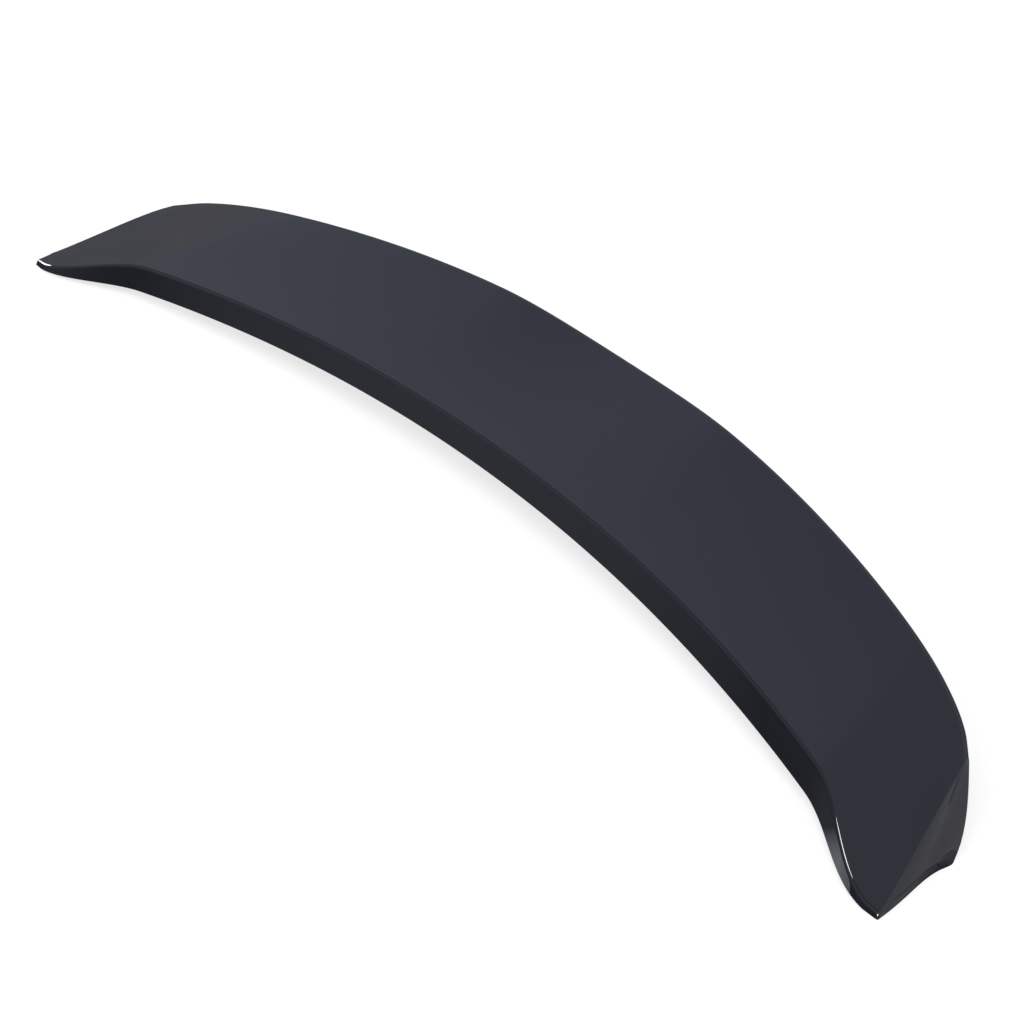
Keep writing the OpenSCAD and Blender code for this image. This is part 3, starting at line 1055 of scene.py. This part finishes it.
@dataclass
class Studio:
    """A plain white studio: pale floor, white backdrop, soft lamps and the camera."""

    lens: float = 89.7
    azimuth: float = 51.81
    elevation: float = 35.0
    camera_at: tuple[float, float, float] = (1.4555, -1.1361, 1.2596)
    floor_size: float = 30.0
    floor_glow: float = 1.08
    floor_glow_share: float = 0.7
    floor_in_gloss: float = 0.2
    pool_at: tuple[float, float, float] = (0.53, -0.2, 0.0)
    pool_inner: float = 0.075
    pool_outer: float = 0.105
    pool_level: float = 1.5
    bright_from: float = 0.575
    bright_to: float = 0.6
    bright_level: float = 0.58
    diffuse_level: float = 0.55
    lamp_power: float = 1.6
    lamp_spread: float = 70.0
    lamp_way: tuple[float, float, float] = (-0.1, 0.15, -1.0)
    glints: tuple[Glint, ...] = (
        Glint(
            "crease_glint", (0.474, -0.126, 0.151), (0.537, -0.111, 0.0175),
            (0.9, -0.39, -0.06), (0.062, 0.058),
        ),
        Glint(
            "left_tip_glint", (-0.679, -0.15, 0.062), (-0.576, -0.128, 0.006),
            (0.3, -0.95, 0.0), (0.05, 0.028),
        ),
        Glint(
            "right_tip_glint", (0.612, -0.186, 0.027), (0.59, -0.131, 0.003),
            (0.93, 0.37, 0.0), (0.05, 0.05),
        ),
    )
    # The room in the lacquer by height: dim at the horizon, with a cool panel overhead
    room_by_height: tuple[tuple[float, float, float, float], ...] = (
        (-0.1, 0.19, 0.20, 0.22),
        (0.0, 0.19, 0.20, 0.22),
        (0.1, 0.27, 0.28, 0.31),
        (0.2, 0.34, 0.36, 0.41),
        (0.35, 0.44, 0.46, 0.53),
        (0.43, 0.51, 0.53, 0.60),
        (0.5, 0.64, 0.64, 0.70),
        (0.57, 0.70, 0.70, 0.77),
        (0.62, 0.74, 0.78, 0.98),
        (0.75, 0.67, 0.72, 0.92),
        (0.85, 0.58, 0.62, 0.78),
        (1.0, 0.70, 0.70, 0.80),
    )
    # The gap between the front panel and the overhead one, by depth
    room_by_depth: tuple[tuple[float, float, float, float], ...] = (
        (-1.0, 1.0, 1.0, 1.0),
        (-0.4, 1.0, 1.0, 1.0),
        (-0.28, 0.5, 0.5, 0.5),
        (-0.1, 0.5, 0.5, 0.5),
        (0.02, 1.0, 1.0, 1.0),
    )
    # The even side panel that the end facet mirrors, and where it fades in along the span
    side_colour: tuple[float, float, float, float] = (1.0, 1.0, 1.08, 1.0)
    side_from: float = -0.02
    side_to: float = 0.25

    def make_camera(self) -> None:
        """Places the camera at the photograph's angle."""
        data = bpy.data.cameras.new("camera")
        data.lens = self.lens
        data.sensor_width = 36.0
        camera = place_object("camera", data)
        a, e = math.radians(self.azimuth), math.radians(self.elevation)
        look = Vector((-math.sin(a) * math.cos(e), math.cos(a) * math.cos(e), -math.sin(e)))
        camera.location = self.camera_at
        camera.rotation_euler = look.to_track_quat("-Z", "Y").to_euler()
        bpy.context.scene.camera = camera

    @staticmethod
    def ramp(
        tree: bpy.types.NodeTree, source: bpy.types.NodeSocket,
        stops: tuple[tuple[float, float, float, float], ...],
    ) -> bpy.types.Node:
        """Adds a colour ramp over one part of a direction.

        Args:
            tree: The tree that gets it.
            source: A direction's X, Y or Z, from -1 to 1.
            stops: Place, and linear red, green and blue there.

        Returns:
            The ramp.
        """
        share = add_node(
            tree, "ShaderNodeMapRange", {"From Min": -1.0, "From Max": 1.0}, {"Value": source},
        )
        ramp = add_node(tree, "ShaderNodeValToRGB", links={"Fac": share.outputs["Result"]})
        while len(ramp.color_ramp.elements) < len(stops):
            ramp.color_ramp.elements.new(0.5)
        for element, (place, *rgb) in zip(ramp.color_ramp.elements, stops):
            element.position = (place + 1) / 2
            element.color = (*rgb, 1.0)
        return ramp

    @staticmethod
    def calculate(
        tree: bpy.types.NodeTree, operation: str,
        a: bpy.types.NodeSocket, b: bpy.types.NodeSocket | float,
    ) -> bpy.types.NodeSocket:
        """Works one value out of two.

        Args:
            tree: The tree that gets the node.
            operation: The calculation's name.
            a: First value.
            b: Second value, a socket or a number.

        Returns:
            The result's socket.
        """
        node = add_node(tree, "ShaderNodeMath", {"operation": operation})
        tree.links.new(a, node.inputs[0])
        if isinstance(b, float):
            node.inputs[1].default_value = b
        else:
            tree.links.new(b, node.inputs[1])
        return node.outputs[0]

    def make_world(self) -> None:
        """Makes the backdrop: white to the eye, and a soft room in the lacquer."""
        world = bpy.data.worlds.new("studio")
        bpy.context.scene.world = world
        world.use_nodes = True
        tree = world.node_tree
        tree.nodes.clear()
        path = add_node(tree, "ShaderNodeLightPath")
        way = add_node(tree, "ShaderNodeTexCoord").outputs["Generated"]
        split = add_node(tree, "ShaderNodeSeparateXYZ", links={"Vector": way})
        room = self.ramp(tree, split.outputs["Z"], self.room_by_height)
        panels = self.ramp(tree, split.outputs["Y"], self.room_by_depth)
        aside = add_node(
            tree, "ShaderNodeMapRange",
            {
                "interpolation_type": "SMOOTHSTEP",
                "From Min": self.side_from, "From Max": self.side_to,
            },
            {"Value": split.outputs["X"]},
        )
        colour = add_node(tree, "ShaderNodeMix", {"data_type": "RGBA"})
        level = add_node(tree, "ShaderNodeMix", {"data_type": "FLOAT"})
        for mix, slots, end in ((colour, (6, 7), self.side_colour), (level, (2, 3), 1.0)):
            source = room if mix is colour else panels
            tree.links.new(aside.outputs["Result"], mix.inputs[0])
            tree.links.new(source.outputs["Color"], mix.inputs[slots[0]])
            mix.inputs[slots[1]].default_value = end
        plain = add_node(
            tree, "ShaderNodeBackground", {"Color": (1, 1, 1, 1), "Strength": self.diffuse_level},
        )
        glossy = add_node(
            tree, "ShaderNodeBackground",
            links={"Color": colour.outputs[2], "Strength": level.outputs[0]},
        )
        white = add_node(tree, "ShaderNodeBackground", {"Color": (1, 1, 1, 1), "Strength": 1.0})
        first = add_node(tree, "ShaderNodeMixShader")
        tree.links.new(path.outputs["Is Glossy Ray"], first.inputs[0])
        tree.links.new(plain.outputs[0], first.inputs[1])
        tree.links.new(glossy.outputs[0], first.inputs[2])
        seen = self.calculate(
            tree, "MAXIMUM", path.outputs["Is Camera Ray"], path.outputs["Is Transmission Ray"],
        )
        last = add_node(tree, "ShaderNodeMixShader")
        tree.links.new(seen, last.inputs[0])
        tree.links.new(first.outputs[0], last.inputs[1])
        tree.links.new(white.outputs[0], last.inputs[2])
        add_node(tree, "ShaderNodeOutputWorld", links={"Surface": last.outputs[0]})

    def make_floor(self) -> None:
        """Makes the pale floor, which keeps a light shadow."""
        mesh = bmesh.new()
        bmesh.ops.create_grid(mesh, x_segments=1, y_segments=1, size=self.floor_size / 2)
        floor = place_object("floor", mesh)
        material, tree = new_material("pale_paper_floor")
        path = add_node(tree, "ShaderNodeLightPath")
        place = add_node(tree, "ShaderNodeTexCoord").outputs["Object"]
        paper = add_node(tree, "ShaderNodeBsdfDiffuse", {"Color": linear("#f2f2f2")})
        glow = add_node(
            tree, "ShaderNodeEmission", {"Color": (1, 1, 1, 1), "Strength": self.floor_glow},
        )
        share = self.calculate(
            tree, "MULTIPLY", path.outputs["Is Camera Ray"], self.floor_glow_share,
        )
        seen = add_node(tree, "ShaderNodeMixShader")
        tree.links.new(share, seen.inputs[0])
        tree.links.new(paper.outputs[0], seen.inputs[1])
        tree.links.new(glow.outputs[0], seen.inputs[2])
        # The lacquer sees a dim floor, bright beyond the right end, with a pool of light at its tip
        away = add_node(tree, "ShaderNodeVectorMath", {"operation": "DISTANCE"})
        tree.links.new(place, away.inputs[0])
        away.inputs[1].default_value = self.pool_at
        pool = add_node(
            tree, "ShaderNodeMapRange",
            {
                "From Min": self.pool_inner, "From Max": self.pool_outer,
                "To Min": self.pool_level, "To Max": self.floor_in_gloss,
            },
            {"Value": away.outputs["Value"]},
        ).outputs["Result"]
        split = add_node(tree, "ShaderNodeSeparateXYZ", links={"Vector": place})
        beyond = add_node(
            tree, "ShaderNodeMapRange",
            {
                "From Min": self.bright_from, "From Max": self.bright_to,
                "To Max": self.bright_level,
            },
            {"Value": split.outputs["X"]},
        ).outputs["Result"]
        dim = add_node(
            tree, "ShaderNodeEmission", {"Color": (0.9, 0.95, 1.04, 1)},
            {"Strength": self.calculate(tree, "MAXIMUM", pool, beyond)},
        )
        both = add_node(tree, "ShaderNodeMixShader")
        tree.links.new(path.outputs["Is Glossy Ray"], both.inputs[0])
        tree.links.new(seen.outputs[0], both.inputs[1])
        tree.links.new(dim.outputs[0], both.inputs[2])
        add_node(tree, "ShaderNodeOutputMaterial", links={"Surface": both.outputs[0]})
        floor.data.materials.append(material)

    def make_lamp(self) -> None:
        """Lights the studio evenly from overhead, with a soft edge to the shadow."""
        data = bpy.data.lights.new("overhead", "SUN")
        data.energy = self.lamp_power
        data.angle = math.radians(self.lamp_spread)
        lamp = place_object("overhead", data)
        lamp.location = (0, 0, 3)
        lamp.rotation_euler = Vector(self.lamp_way).to_track_quat("-Z", "Y").to_euler()
        lamp.visible_glossy = False
        lamp.visible_camera = False

    def make(self) -> None:
        """Builds the studio."""
        scene = bpy.context.scene
        scene.view_settings.view_transform = "Standard"
        self.make_camera()
        self.make_world()
        self.make_floor()
        self.make_lamp()
        for glint in self.glints:
            glint.make()


def main() -> None:
    """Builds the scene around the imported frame."""
    logging.basicConfig(level=logging.INFO, format="%(message)s")
    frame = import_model()

    form = SpoilerForm()
    shell = SpoilerShell(form)
    body = shell.make()
    shell.dress(body, GlossBlackPaint().make(), MouldedAbs().make())
    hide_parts("spoiler_shell")
    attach(body, BODY)
    log.info("spoiler_body: %d faces", len(body.data.polygons))

    inserts = frame["nodes"]["mount_inserts"]
    inserts.data.materials.clear()
    inserts.data.materials.append(TurnedBrass().make())
    log.info("mount_inserts: brass")

    Studio().make()


if __name__ == "__main__":
    main()
